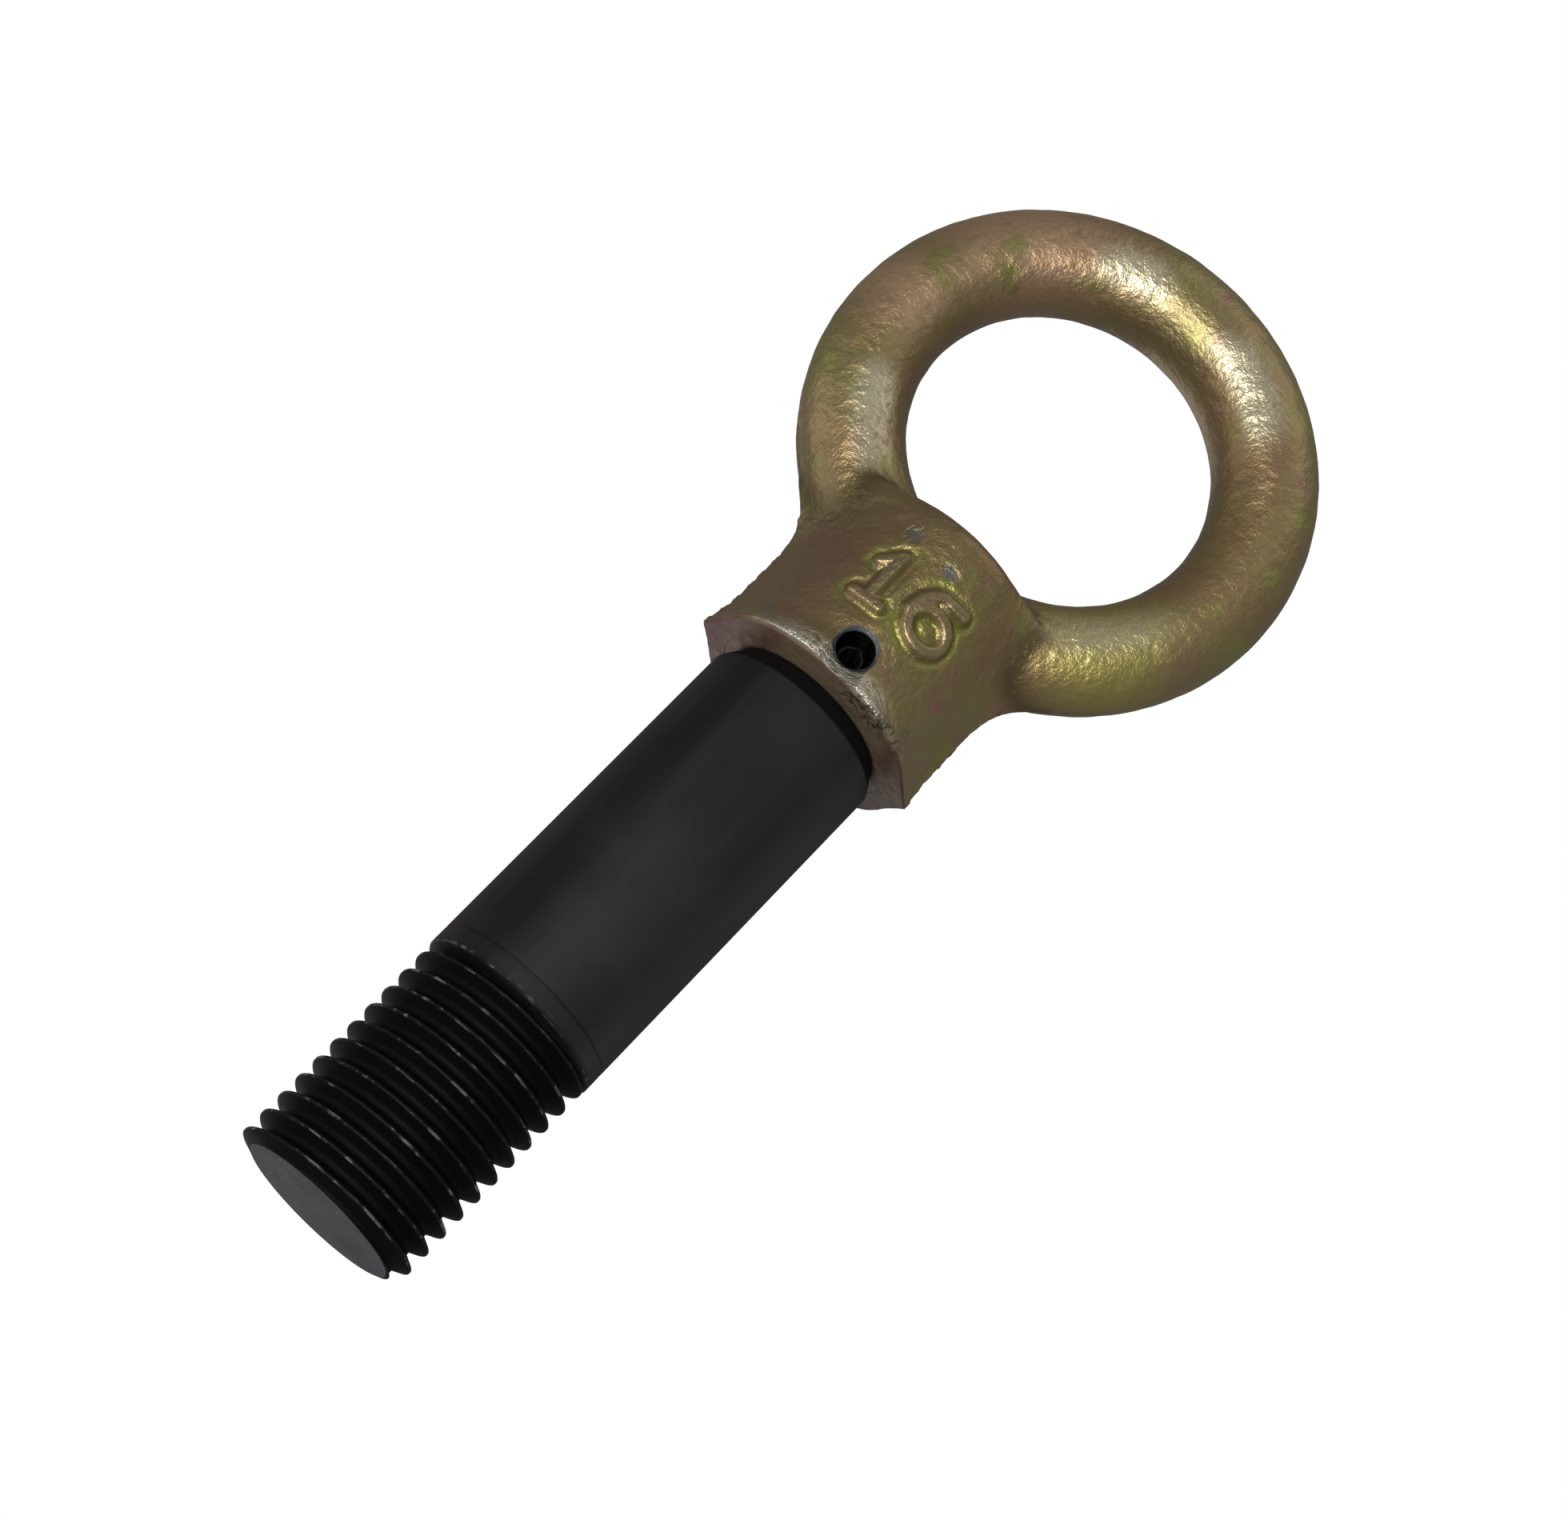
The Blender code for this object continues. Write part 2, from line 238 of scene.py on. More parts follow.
numeral_stroke = 0.95         # half width of the raised strokes
numeral_height = 0.66
numeral_hollow = 0.16         # depth of the hollow that runs round them
numeral_one = [(-5.4, 15.4), (-3.5, 17.2), (-3.5, 10.5)]
numeral_one_foot = [(-5.3, 10.5), (-1.7, 10.5)]
numeral_six = [(6.1, 17.2)] + [
    (4.0 - 3.1 * cos(radians(turn)), 13.1 + 4.0 * sin(radians(turn)))
    for turn in range(70, -1, -10)
] + [(4.0 - 2.7 * cos(radians(turn)), 12.7 + 2.3 * sin(radians(turn)))
     for turn in range(-20, -361, -20)]


def object_from(name, mesh):
    obj = bpy.data.objects.new(name, mesh)
    bpy.context.scene.collection.objects.link(obj)
    return obj


def mesh_from(name, shape):
    mesh = bpy.data.meshes.new(name)
    shape.to_mesh(mesh)
    shape.free()
    return mesh


def with_modifier(obj, kind, settings):
    """The object's mesh with one modifier applied.  The object itself is used up."""
    modifier = obj.modifiers.new(kind.lower(), kind)
    for name, value in settings.items():
        setattr(modifier, name, value)
    bpy.context.view_layer.update()
    changed = obj.evaluated_get(bpy.context.evaluated_depsgraph_get())
    mesh = bpy.data.meshes.new_from_object(changed)
    bpy.data.objects.remove(obj)
    return mesh


def cut_with(mesh, cutter_mesh, operation="DIFFERENCE"):
    """The mesh after a turned or drilled shape is cut from it, or kept."""
    cutter = object_from("cutter", cutter_mesh)
    settings = {"operation": operation, "object": cutter, "solver": "MANIFOLD"}
    result = with_modifier(object_from("blank", mesh), "BOOLEAN", settings)
    bpy.data.objects.remove(cutter)
    return result


def turned(name, stations, steps=96):
    """A shape turned on a lathe about Z, from (radius, height) stations in millimetres."""
    shape = bmesh.new()
    line = [shape.verts.new((radius * mm, 0, height * mm)) for radius, height in stations]
    edges = [shape.edges.new(pair) for pair in zip(line, line[1:])]
    bmesh.ops.spin(shape, geom=line + edges, cent=(0, 0, 0), axis=(0, 0, 1), angle=2 * pi,
                   steps=steps, use_merge=True)
    bmesh.ops.remove_doubles(shape, verts=shape.verts, dist=1e-7)
    bmesh.ops.recalc_face_normals(shape, faces=shape.faces)
    return mesh_from(name, shape)


def smooth_min(first, second, reach):
    """The lesser of two depths, with a rounded hollow where they meet."""
    near = np.maximum(reach - np.abs(first - second), 0) / reach
    return np.minimum(first, second) - near * near * reach / 4


def smooth_step(value, low, high):
    part = np.clip((value - low) / (high - low), 0, 1)
    return part * part * (3 - 2 * part)


def side_width(z):
    """Half width of the boss at the parting line: foot, waist, then a hollow to the ring."""
    reach = ring_outside + side_fillet
    centre_x = boss_waist + side_fillet
    centre_z = eye_z - np.sqrt(reach ** 2 - centre_x ** 2)
    touch_z = eye_z - (eye_z - centre_z) * ring_outside / reach
    hollow = centre_x - np.sqrt(np.maximum(side_fillet ** 2 - (z - centre_z) ** 2, 0))
    upper = np.sqrt(np.maximum(ring_outside ** 2 - (eye_z - z) ** 2, 0)) - 0.6
    return np.where(z < centre_z, boss_waist, np.where(z < touch_z, hollow, upper))


def front_depth(z):
    """Half depth of the boss: a straight barrel with a rounded top."""
    rise = np.clip(z - (boss_height - boss_edge), 0, boss_edge)
    return boss_depth - boss_edge + np.sqrt(boss_edge ** 2 - rise ** 2)


def along(strokes, u, v):
    """Distance from points (u, v) to a stroked line."""
    nearest = np.full(u.shape, 1e3)
    for (u1, v1), (u2, v2) in zip(strokes, strokes[1:]):
        du, dv = u2 - u1, v2 - v1
        part = np.clip(((u - u1) * du + (v - v1) * dv) / (du * du + dv * dv), 0, 1)
        nearest = np.minimum(nearest, np.hypot(u - u1 - part * du, v - v1 - part * dv))
    return nearest


def numeral_gap(points):
    """Distance in millimetres from the middle of the nearest stroke of the size number."""
    x, y, z = points.T
    u = boss_depth * np.arctan2(x - boss_shift, -y)
    stroke = np.minimum(along(numeral_one, u, z), along(numeral_one_foot, u, z))
    return np.minimum(stroke, along(numeral_six, u, z))


def bar_and_boss(points):
    """How far points, in millimetres, lie outside the ring's bar and outside the boss."""
    x, y, z = points.T
    ring = np.hypot(x - eye_x, z - eye_z) - ring_radius
    bar = np.hypot(ring, y) - bar_radius

    across = x - boss_shift * np.clip(z / flare_height, 0, 1)
    depth = front_depth(z)
    width = side_width(z)
    flank = np.maximum(np.arccos(np.clip(depth / width, 0, 1)), boss_flank)
    reach = width * np.cos(flank)
    radius = np.maximum(np.hypot(across, y), 1e-6)
    from_side = np.arcsin(np.minimum(np.abs(y) / radius, 1))
    turn = flank + np.arccos(np.minimum(reach / depth, 1))
    outline = np.where(from_side < turn, reach / np.cos(from_side - flank), depth)
    flare = np.clip((flare_height - z) / (flare_height - foot_lip), 0, 1) ** 2.1
    outline = outline + (foot_outline(np.sin(from_side)) - outline) * flare
    edge = foot_edge + (foot_worn_edge - foot_edge) * smooth_step(-y, 6, 13)
    outline = outline - edge + np.sqrt(edge ** 2 - np.clip(edge - z, 0, edge) ** 2)

    stroke = numeral_gap(points)
    raised = 1 - smooth_step(stroke, 0.35 * numeral_stroke, 1.15 * numeral_stroke)
    sunk = np.exp(-((stroke - 1.45 * numeral_stroke) / 0.4) ** 2)
    outline = outline + numeral_height * raised - numeral_hollow * sunk
    ragged = 0.5 + 0.3 * np.sin(2.9 * z) + 0.2 * np.sin(7.3 * z + 1)
    flash = np.exp(-(y / flash_width) ** 2) * smooth_step(boss_height - z, 0, 3)
    outline = outline + flash_height * flash * ragged
    boss = np.maximum((radius - outline) * 0.95, np.maximum(z - boss_height, -2 - z))
    return bar, boss


def forging_depth(points):
    """How far points lie outside the forging, or inside it if negative."""
    return smooth_min(*bar_and_boss(points), join_reach)


def points_of(mesh):
    """The mesh's points in millimetres, one to a row."""
    flat = np.empty(len(mesh.vertices) * 3, np.float32)
    mesh.vertices.foreach_get("co", flat)
    return flat.reshape(-1, 3).astype(float) / mm


def set_on_forging(mesh, passes=4):
    """Moves each point of the mesh along the forging's slope until it lies on its skin."""
    points = points_of(mesh)
    probe = 0.02
    for _ in range(passes):
        depth = forging_depth(points)
        slope = np.stack([
            forging_depth(points + probe * axis) - forging_depth(points - probe * axis)
            for axis in np.eye(3)
        ], 1) / (2 * probe)
        steep = np.maximum((slope ** 2).sum(1), 0.25)
        points -= np.clip(depth / steep, -1.5, 1.5)[:, None] * slope
    mesh.vertices.foreach_set("co", (points * mm).astype(np.float32).ravel())
    mesh.update()


# A ring and a cone make a rough blank.  It is remeshed evenly and set on the forging's skin
# twice, and the faces under the number are split once more.
eye_shape = bmesh.new()
section = bmesh.ops.create_circle(eye_shape, segments=32, radius=bar_radius * mm)["verts"]
bmesh.ops.translate(eye_shape, verts=section, vec=(ring_radius * mm, 0, 0))
bmesh.ops.spin(eye_shape, geom=section + list(eye_shape.edges), cent=(0, 0, 0),
               axis=(0, 1, 0), angle=2 * pi, steps=96, use_merge=True)
bmesh.ops.translate(eye_shape, verts=eye_shape.verts, vec=(eye_x * mm, 0, eye_z * mm))
bmesh.ops.create_cone(
    eye_shape, cap_ends=True, segments=64, radius1=15.5 * mm, radius2=13.5 * mm,
    depth=(boss_height + 2) * mm,
    matrix=Matrix.Translation((0, 0, (boss_height - 2) / 2 * mm)),
)
bmesh.ops.recalc_face_normals(eye_shape, faces=eye_shape.faces)
eye_mesh = mesh_from("eye_blank", eye_shape)
for voxel in (0.7, 0.36):     # coarse first, so that the fine pass has little left to move
    settings = {"mode": "VOXEL", "voxel_size": voxel * mm}
    eye_mesh = with_modifier(object_from("blank", eye_mesh), "REMESH", settings)
    set_on_forging(eye_mesh)

eye_shape = bmesh.new()
eye_shape.from_mesh(eye_mesh)
fine = set()
for face in eye_shape.faces:
    spot = face.calc_center_median() / mm
    if spot.y < -6 and abs(spot.x - 1.0) < 9.5 and 8.5 < spot.z < 19:
        fine.update(face.edges)
bmesh.ops.subdivide_edges(eye_shape, edges=list(fine), cuts=1, use_grid_fill=True)
eye_mesh = mesh_from("eye_skin", eye_shape)
set_on_forging(eye_mesh)

# The die leaves a fine orange peel, and the forging has picked up dents since.
dent_depth = 0.16             # for a dent of 1 mm
dents = [(-22.3, -5.8, 46.0, 1.0), (-21.0, -6.0, 43.5, 0.7), (24.5, -5.0, 38.0, 1.0),
         (27.2, -3.6, 44.0, 0.9), (22.0, -6.2, 56.0, 0.8), (-14.0, -5.6, 66.5, 0.8),
         (8.0, -5.2, 73.5, 1.1), (14.0, -6.3, 29.5, 0.7), (-26.5, 4.0, 52.0, 1.1),
         (20.0, 5.5, 62.0, 1.0), (-9.0, -11.0, 8.0, 0.9), (9.5, -9.5, 17.5, 0.8)]
eye_shape = bmesh.new()
eye_shape.from_mesh(eye_mesh)
eye_shape.normal_update()
for vert in eye_shape.verts:
    spot = vert.co / mm
    peel = 0.06 * noise.noise(spot / 2.6) + 0.025 * noise.noise(spot / 1.1)
    for x, y, z, size in dents:
        near = (spot - Vector((x, y, z))).length_squared / size ** 2
        if near < 6:
            peel -= dent_depth * size * np.exp(-near)
    vert.co += vert.normal * float(peel * mm)
eye_mesh = mesh_from("eye_skin", eye_shape)

# The seat is faced flat and the socket is bored from below, and then the pin hole is drilled
# through and bevelled at its mouths.
seat_tool = turned("seat_tool", [
    (0, -6), (30, -6), (30, 0), (spot_face_radius, 0), (spot_face_radius, spot_face_depth),
    (socket_radius, spot_face_depth), (socket_radius, socket_top), (0, socket_top),
])
eye_mesh = cut_with(eye_mesh, seat_tool)


def pin_drill(radius, mouth_radius, mouth):
    """A drill along Y with a countersink at each mouth, mouth millimetres from the axis."""
    slope = mouth_radius - radius
    drill = turned("pin_drill", [
        (0, -mouth - 6), (mouth_radius + 6, -mouth - 6), (radius, -mouth + slope),
        (radius, mouth - slope), (mouth_radius + 6, mouth + 6), (0, mouth + 6),
    ], 64)
    drill.transform(Matrix.Translation((0, 0, pin_height * mm)) @ Matrix.Rotation(pi / 2, 4, "X"))
    return drill


bevel_radius = pin_hole_radius + pin_hole_bevel
eye_mesh = cut_with(eye_mesh, pin_drill(pin_hole_radius, bevel_radius, boss_depth))
eye_shape = bmesh.new()
eye_shape.from_mesh(eye_mesh)
for edge in eye_shape.edges:
    low_face = min(face.calc_center_median().z for face in edge.link_faces)
    limit = radians(12 if low_face < 0.01 * mm else 40)
    edge.smooth = edge.calc_face_angle(0) < limit
for face in eye_shape.faces:
    face.smooth = True
eye_mesh = mesh_from("forged_eye_skin", eye_shape)
points = points_of(eye_mesh)
bar, boss = bar_and_boss(points)
# The crease attribute marks where ring and boss meet; it carries painted shade there.
for name, values in (("numeral_gap", numeral_gap(points).clip(0, 9)),
                     ("crease_shade", np.exp(-((bar - boss) / 1.1) ** 2))):
    attribute = eye_mesh.attributes.new(name, "FLOAT", "POINT")
    attribute.data.foreach_set("value", values.astype(np.float32))

zinc, zinc_shader, shade = new_material("yellow_zinc_plate", 0.4, 0.88)
place = shade.node("ShaderNodeTexCoord", None, None, 3)
across = shade.node("ShaderNodeSeparateXYZ", None, {0: place}, 0)
front = shade.node("ShaderNodeSeparateXYZ", None, {0: place}, 1)
height = shade.node("ShaderNodeSeparateXYZ", None, {0: place}, 2)


def gap_from(shade, place, point):
    """Distance in metres from a point given in millimetres."""
    inputs = {0: place, 1: [value * mm for value in point]}
    return shade.node("ShaderNodeVectorMath", {"operation": "DISTANCE"}, inputs, 1)


def gap_from_line(shade, place, across_line, point=(0, 0, 0)):
    """Distance in metres from a line through a point; across_line is 0 along the line."""
    shift = [-value * part * mm for value, part in zip(point, across_line)]
    flat = shade.node("ShaderNodeVectorMath", {"operation": "MULTIPLY_ADD"},
                      {0: place, 1: across_line, 2: shift})
    return shade.node("ShaderNodeVectorMath", {"operation": "LENGTH"}, {0: flat}, 1)


def patches_at(shade, place, points, outer, inner):
    """1 within inner millimetres of any of the points, and smoothly less out to outer."""
    first, *others = [gap_from(shade, place, point).step(outer * mm, inner * mm)
                      for point in points]
    for other in others:
        first = shade.math("MAXIMUM", first, other)
    return first


# The plate runs in clouds from tan to khaki, with pink and olive patches.
cloud = shade.noise(place, 14 * mm, 4.0, 0.6)
patch = shade.noise(place, 6 * mm, 4.0, 0.65)
grain = shade.noise(place, 0.8 * mm, 3.0, 0.6)
speck = shade.noise(place, 0.3 * mm, 2.0, 0.5)
tan = (0.42, 0.29, 0.145, 1)
khaki = (0.41, 0.335, 0.15, 1)
pink = (0.45, 0.275, 0.175, 1)
olive = (0.40, 0.375, 0.125, 1)
base = cloud.step(0.38, 0.62).blend(tan, khaki)
base = patch.step(0.53, 0.68).blend(base, pink)
base = patch.step(0.46, 0.32).blend(base, olive)

# It is greener round the number and redder on the boss's left side.
grass_green = (0.42, 0.42, 0.10, 1)
copper = (0.42, 0.245, 0.165, 1)
green = patches_at(shade, place, [(1.5, -13, 15)], 10.5, 3.5)
green = green * (grain * 0.5 + patch).step(0.60, 0.95)
base = (green * 0.7).blend(base, grass_green)
flushed = patches_at(shade, place, [(-12, -8, 13)], 10, 3) * patch.step(0.30, 0.55)
base = (flushed * 0.7).blend(base, copper)

# The number's strokes are tan, with a dark line round them and a bright green hollow beyond
# it.  The gap from a stroke is in millimetres.
hollow_green = (0.38, 0.44, 0.08, 1)
stroke_tan = (0.44, 0.34, 0.19, 1)
line_olive = (0.16, 0.13, 0.04, 1)
stroke = shade.node("ShaderNodeAttribute", {"attribute_name": "numeral_gap"}, None, 2)
on_front = front.step(-6 * mm, -8 * mm)
sunk = stroke.step(0.75, 1.05) * stroke.step(2.9, 1.3) * on_front
sunk = sunk * (grain * 0.6 + patch * 1.2).step(0.70, 1.1)
base = (sunk * 0.75).blend(base, hollow_green)
risen = stroke.step(0.9, 0.5) * on_front
base = (risen * 0.8).blend(base, stroke_tan)
outline = stroke.step(0.75, 1.0) * stroke.step(1.5, 1.15) * on_front
base = (outline * 0.45).blend(base, line_olive)

# The ring is yellow near the boss on the right, and rosy at the left and upper left; both
# patches sit where highlights fall and are partly painted highlight.  Pale spots on the inner
# half of its front are rubbed plate with painted highlight on it.
lemon = (0.54, 0.49, 0.14, 1)
rose = (0.68, 0.45, 0.28, 1)
straw = (0.82, 0.75, 0.52, 1)
yellow = patches_at(shade, place, [(20, -6, 29)], 12, 3)
base = (yellow * 0.75).blend(base, lemon)
rosy = shade.math("MAXIMUM", patches_at(shade, place, [(-19, -4, 62)], 16, 5),
                  patches_at(shade, place, [(-26, -4, 46)], 9, 3))
rosy = rosy * patch.step(0.32, 0.52)
base = (rosy * 0.85).blend(base, rose)
pale_spots = [(-18.4, -6, 27.5), (-20.2, -6, 32), (-8, -6, 68.2), (9, -6, 67.6), (13, -6, 65.8)]
# Painted highlight on rubbed plate at the pale spots and in the yellow patch.
rubbed_and_highlight = shade.math("MAXIMUM", yellow * 0.6, patches_at(shade, place, pale_spots, 7, 2))
rubbed_and_highlight = rubbed_and_highlight * front.step(-4.4 * mm, -6.0 * mm) * (grain * 0.9 + cloud * 0.3).step(0.34, 0.62)
from_eye = gap_from_line(shade, place, (1, 0, 1), (eye_x, 0, eye_z))
rubbed_and_highlight = rubbed_and_highlight * from_eye.step((ring_radius + 2.6) * mm, (ring_radius - 0.6) * mm)
base = (rubbed_and_highlight * 0.90).blend(base, straw)

# Painted shade darkens the inside of the ring, the boss and the crease between them.
inside_shade_brown = (0.13, 0.085, 0.05, 1)
boss_shade_brown = (0.19, 0.13, 0.07, 1)
crease_shade_brown = (0.075, 0.055, 0.025, 1)
inside_shade = from_eye.step((ring_radius - 1) * mm, (ring_radius - bar_radius) * mm)
base = (inside_shade * 0.40).blend(base, inside_shade_brown)
# Painted shade on the boss, fading out towards its right side.
boss_shade = height.step(27 * mm, 23 * mm) * (1 - yellow)
boss_shade = boss_shade * (0.40 - sunk * 0.25) * across.step(11 * mm, 2 * mm)
base = boss_shade.blend(base, boss_shade_brown)
# Painted shade in the crease between ring and boss.
crease_shade = shade.node("ShaderNodeAttribute", {"attribute_name": "crease_shade"}, None, 2)
base = (crease_shade * 0.60).blend(base, crease_shade_brown)

# The seat is brown and less metallic, red in patches towards its ends, and has painted shade
# at its right end.
seat_brown = (0.20, 0.145, 0.095, 1)
seat_red = (0.15, 0.065, 0.052, 1)
seat_shade = (0.05, 0.025, 0.02, 1)
seat = height.step(0.45 * mm, 0.15 * mm)
base = (seat * 0.88).blend(base, seat_brown)
ends = shade.math("MAXIMUM", across.step(-5 * mm, -9 * mm), across.step(8 * mm, 11 * mm))
base = (seat * ends * patch.step(0.35, 0.60)).blend(base, seat_red)
# Painted shade at the seat's right end.
shaded_end = seat * across.step(9.5 * mm, 12.5 * mm)
base = (shaded_end * 0.55).blend(base, seat_shade)

# The foot's front edge is worn to bright metal, which also carries painted highlight, with dark
# scuffs to the right of the middle, and the plate has come off in four small grey spots.
bright_metal = (0.98, 0.94, 0.80, 1)
scuff_black = (0.05, 0.04, 0.03, 1)
bare_grey = (0.19, 0.21, 0.22, 1)
# Painted highlight on the worn front edge of the foot.
worn_and_highlight = patches_at(shade, place, [(-1.0, -15.8, 1.2)], 10.5, 4) * 0.8 + 0.2
worn_and_highlight = worn_and_highlight * height.step(4.2 * mm, 1.8 * mm) * front.step(-8 * mm, -13 * mm) * (1 - seat)
worn_and_highlight = worn_and_highlight * (grain * 1.4 + patch * 0.3).step(0.54, 0.86)
base = worn_and_highlight.blend(base, bright_metal)
scuffed = height.step(2.0 * mm, 0.6 * mm) * front.step(-9 * mm, -13 * mm) * (1 - worn_and_highlight)
scuffed = scuffed * across.step(-1 * mm, 4 * mm) * (grain * 1.2 + patch * 0.4).step(0.74, 0.95)
base = scuffed.blend(base, scuff_black)
bare = seat * 0
for spot in [(-4.5, -12.5, 20.5), (1.55, -13.2, 19.5), (-10.5, -8.2, 3.5), (10.0, -8.75, 2.8)]:
    near = (gap_from(shade, place, spot) + grain * (1.8 * mm)).step(2.3 * mm, 1.2 * mm)
    bare = shade.math("MAXIMUM", bare, near)
base = (bare * 0.75).blend(base, bare_grey)

# The pin hole's bevel is bare grey steel and the socket is brownish and tapped.  The inside of
# the pin hole and the seat next to the shank are painted black as shade.
bevel_grey = (0.15, 0.16, 0.175, 1)
socket_brown = (0.16, 0.145, 0.12, 1)
shade_black = (0.012, 0.011, 0.010, 1)
from_axis = gap_from_line(shade, place, (1, 1, 0))
# Painted shade on the seat round the shank.
shade_by_shank = (from_axis + grain * (0.5 * mm)).step(11.1 * mm, 10.4 * mm)
shade_by_shank = shade_by_shank * height.step(1.0 * mm, 0.5 * mm)
from_hole = gap_from_line(shade, place, (1, 0, 1), (0, 0, pin_height))
bored = (from_hole + grain * (0.3 * mm)).step((bevel_radius + 0.2) * mm, bevel_radius * mm)
base = bored.blend(base, bevel_grey)
socket = from_axis.step((socket_radius + 0.25) * mm, (socket_radius + 0.1) * mm)
socket = socket * height.step((socket_top + 2) * mm, socket_top * mm)
base = socket.blend(base, socket_brown)
# Painted shade inside the pin hole.
drilled = from_hole.step((pin_hole_radius + 0.12) * mm, (pin_hole_radius + 0.05) * mm)
base = shade.math("MAXIMUM", shade_by_shank, drilled).blend(base, shade_black)

rough = 0.50 - grain * 0.20 + patch * 0.06 - worn_and_highlight * 0.14 - rubbed_and_highlight * 0.05 + seat * 0.12
metal = 0.88 - seat * 0.5
relief = grain * 0.8 + speck * 0.22 + shade.noise(place, 2.2 * mm, 1.0, 0.5) * 1.1
relief = relief + rubbed_and_highlight * grain * 0.2 + worn_and_highlight * grain * 1.2 - bare * 0.6 - seat * grain * 0.6
tapped = shade.math("SINE", height * (2 * pi / (socket_pitch * mm))) * 1.6
relief = relief * (1 - socket) + tapped * socket
bump = shade.node("ShaderNodeBump", None,
                  {"Strength": 0.75, "Distance": 0.26 * mm, "Height": relief})
for name, value in (("Base Color", base), ("Roughness", rough), ("Metallic", metal),
                    ("Normal", bump)):
    shade.tree.links.new(value.socket, zinc_shader.inputs[name])
zinc_shader.inputs["Coat Weight"].default_value = 0.15
zinc_shader.inputs["Coat Roughness"].default_value = 0.35
eye_mesh.materials.clear()
eye_mesh.materials.append(zinc)
eye = object_from("forged_eye_visual", eye_mesh)
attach(eye, "root")
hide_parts("forged_eye")


# ---------------------------------------------------------------- threaded stud
# Turned from round bar and black oxided: a tenon held in the eye, a plain shank with a broad
# chamfer under the seat, and a right-hand thread cut to the end, which is faced and
# chamfered.
stud_low, stud_high = (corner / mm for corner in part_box("threaded_stud"))
shank_radius = stud_high.x
end_height = stud_low.z
thread_radius = 11.68
thread_pitch = 2.689
thread_depth = 1.60
thread_top = -50.3            # where the last full groove ends
thread_fade = 0.7
crest_phase = radians(80)     # where round the stud the crest meets the end face
point_line = [(9.9, 0.0), (10.9, 0.42), (11.8, 0.75), (14.0, 1.3)]  # above the end face
groove_height = -47.2         # a faint turned groove round the shank, above the thread
shoulder_chamfer = 1.55
shoulder_height = 2.35
shoulder_gap = 0.05
tenon_radius = 7.6
tenon_chamfer = 1.2
turn_steps = 120
thread_groove = [             # (part of the pitch, part of the depth), crest to crest
    (0.00, 0.00), (0.045, 0.005), (0.068, 0.045), (0.10, 0.14), (0.21, 0.50), (0.31, 0.83),
    (0.37, 0.95), (0.43, 0.995), (0.50, 1.00), (0.57, 0.995), (0.63, 0.95), (0.69, 0.83),
    (0.79, 0.50), (0.90, 0.14), (0.932, 0.045), (0.955, 0.005),
]

# The thread is its groove's outline wound up the bar.  It is cut level at both ends, and the
# shank and the tenon are drawn up from its top edge.
stud_shape = bmesh.new()
turns = int((thread_top + thread_fade - end_height) / thread_pitch) + 4
line = []
for turn in range(turns):
    for part, depth in thread_groove:
        height_here = end_height + (turn - 2 + part) * thread_pitch
        line.append(stud_shape.verts.new(((thread_radius - depth * thread_depth) * mm, 0,
                                          height_here * mm)))
edges = [stud_shape.edges.new(pair) for pair in zip(line, line[1:])]
bmesh.ops.spin(stud_shape, geom=line + edges, cent=(0, 0, 0), axis=(0, 0, 1),
               dvec=(0, 0, thread_pitch * mm / turn_steps), angle=2 * pi, steps=turn_steps,
               use_merge=False)
bmesh.ops.rotate(stud_shape, verts=stud_shape.verts, cent=(0, 0, 0),
                 matrix=Matrix.Rotation(crest_phase, 3, "Z"))
bmesh.ops.remove_doubles(stud_shape, verts=stud_shape.verts, dist=1e-6)
for vert in stud_shape.verts:
    radius = vert.co.xy.length
    fade = min(max((vert.co.z / mm - thread_top) / thread_fade, 0), 1)
    vert.co.xy *= 1 + (thread_radius * mm / radius - 1) * fade


def cut_level(shape, height, keep_below):
    """Cuts the skin level at a height, drops one side, and returns the edges of the cut."""
    cut = bmesh.ops.bisect_plane(
        shape, geom=list(shape.verts) + list(shape.edges) + list(shape.faces), dist=1e-7,
        plane_co=(0, 0, height * mm), plane_no=(0, 0, 1),
        clear_outer=keep_below, clear_inner=not keep_below,
    )["geom_cut"]
    return [item for item in cut if isinstance(item, bmesh.types.BMEdge)]


bmesh.ops.contextual_create(stud_shape, geom=cut_level(stud_shape, end_height, False))
loop = cut_level(stud_shape, thread_top + thread_fade, True)
shank_line = [
    (shank_radius, thread_top + thread_fade + 0.12),
    (shank_radius, thread_top + thread_fade + 0.35),
    (shank_radius - 0.005, groove_height - 0.3), (shank_radius - 0.03, groove_height),
    (shank_radius - 0.005, groove_height + 0.3), (shank_radius, groove_height + 0.6),
    (shank_radius, -shoulder_height - 0.3), (shank_radius - 0.10, -shoulder_height),
    (shank_radius - shoulder_chamfer, -shoulder_gap), (tenon_radius, -shoulder_gap),
    (tenon_radius, stud_high.z - tenon_chamfer), (tenon_radius - tenon_chamfer, stud_high.z),
]
for radius, height_here in shank_line:
    grown = bmesh.ops.extrude_edge_only(stud_shape, edges=loop)["geom"]
    fresh = {item for item in grown if isinstance(item, bmesh.types.BMVert)}
    for vert in fresh:
        vert.co.xy *= radius * mm / vert.co.xy.length
        vert.co.z = height_here * mm
    loop = [item for item in grown
            if isinstance(item, bmesh.types.BMEdge) and fresh.issuperset(item.verts)]
bmesh.ops.contextual_create(stud_shape, geom=loop)
bmesh.ops.recalc_face_normals(stud_shape, faces=stud_shape.faces)
stud_mesh = mesh_from("stud_blank", stud_shape)

